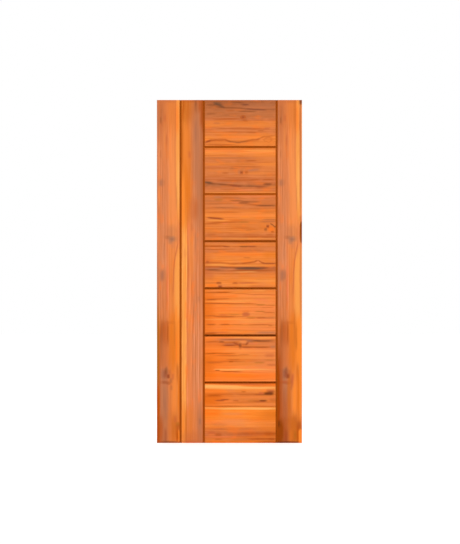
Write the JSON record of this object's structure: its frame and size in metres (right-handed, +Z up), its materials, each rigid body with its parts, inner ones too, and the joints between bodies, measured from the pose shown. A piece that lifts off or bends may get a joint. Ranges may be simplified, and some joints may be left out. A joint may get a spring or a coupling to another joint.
{
  "type": "exterior door leaf",
  "caption": "Solid teak exterior door leaf: a pair of full-height stiles on one side, a single stile on the other, and V-jointed horizontal boards between them.",
  "frame": {"origin": "foot of the hinge edge, the right edge seen from outside, at the middle of the thickness", "axes": "+X to the right across the leaf and out of the hinge edge, +Y through it from outside to inside, +Z up"},
  "size_m": [0.838, 0.044, 1.981],
  "materials": {
    "stile_teak": "satin",
    "board_teak": "satin",
    "tongue_teak": "matte"
  },
  "bodies": {
    "root": {"left_stile": "stile_teak", "middle_stile": "stile_teak", "right_stile": "stile_teak", "top_rail": "board_teak", "board_1": "board_teak", "board_2": "board_teak", "board_3": "board_teak", "board_4": "board_teak", "board_5": "board_teak", "bottom_rail_upper": "board_teak", "bottom_rail_lower": "board_teak", "stile_tongue": "tongue_teak", "board_tongue_1": "tongue_teak", "board_tongue_2": "tongue_teak", "board_tongue_3": "tongue_teak", "board_tongue_4": "tongue_teak", "board_tongue_5": "tongue_teak", "board_tongue_6": "tongue_teak"}
  },
  "joints": []
}
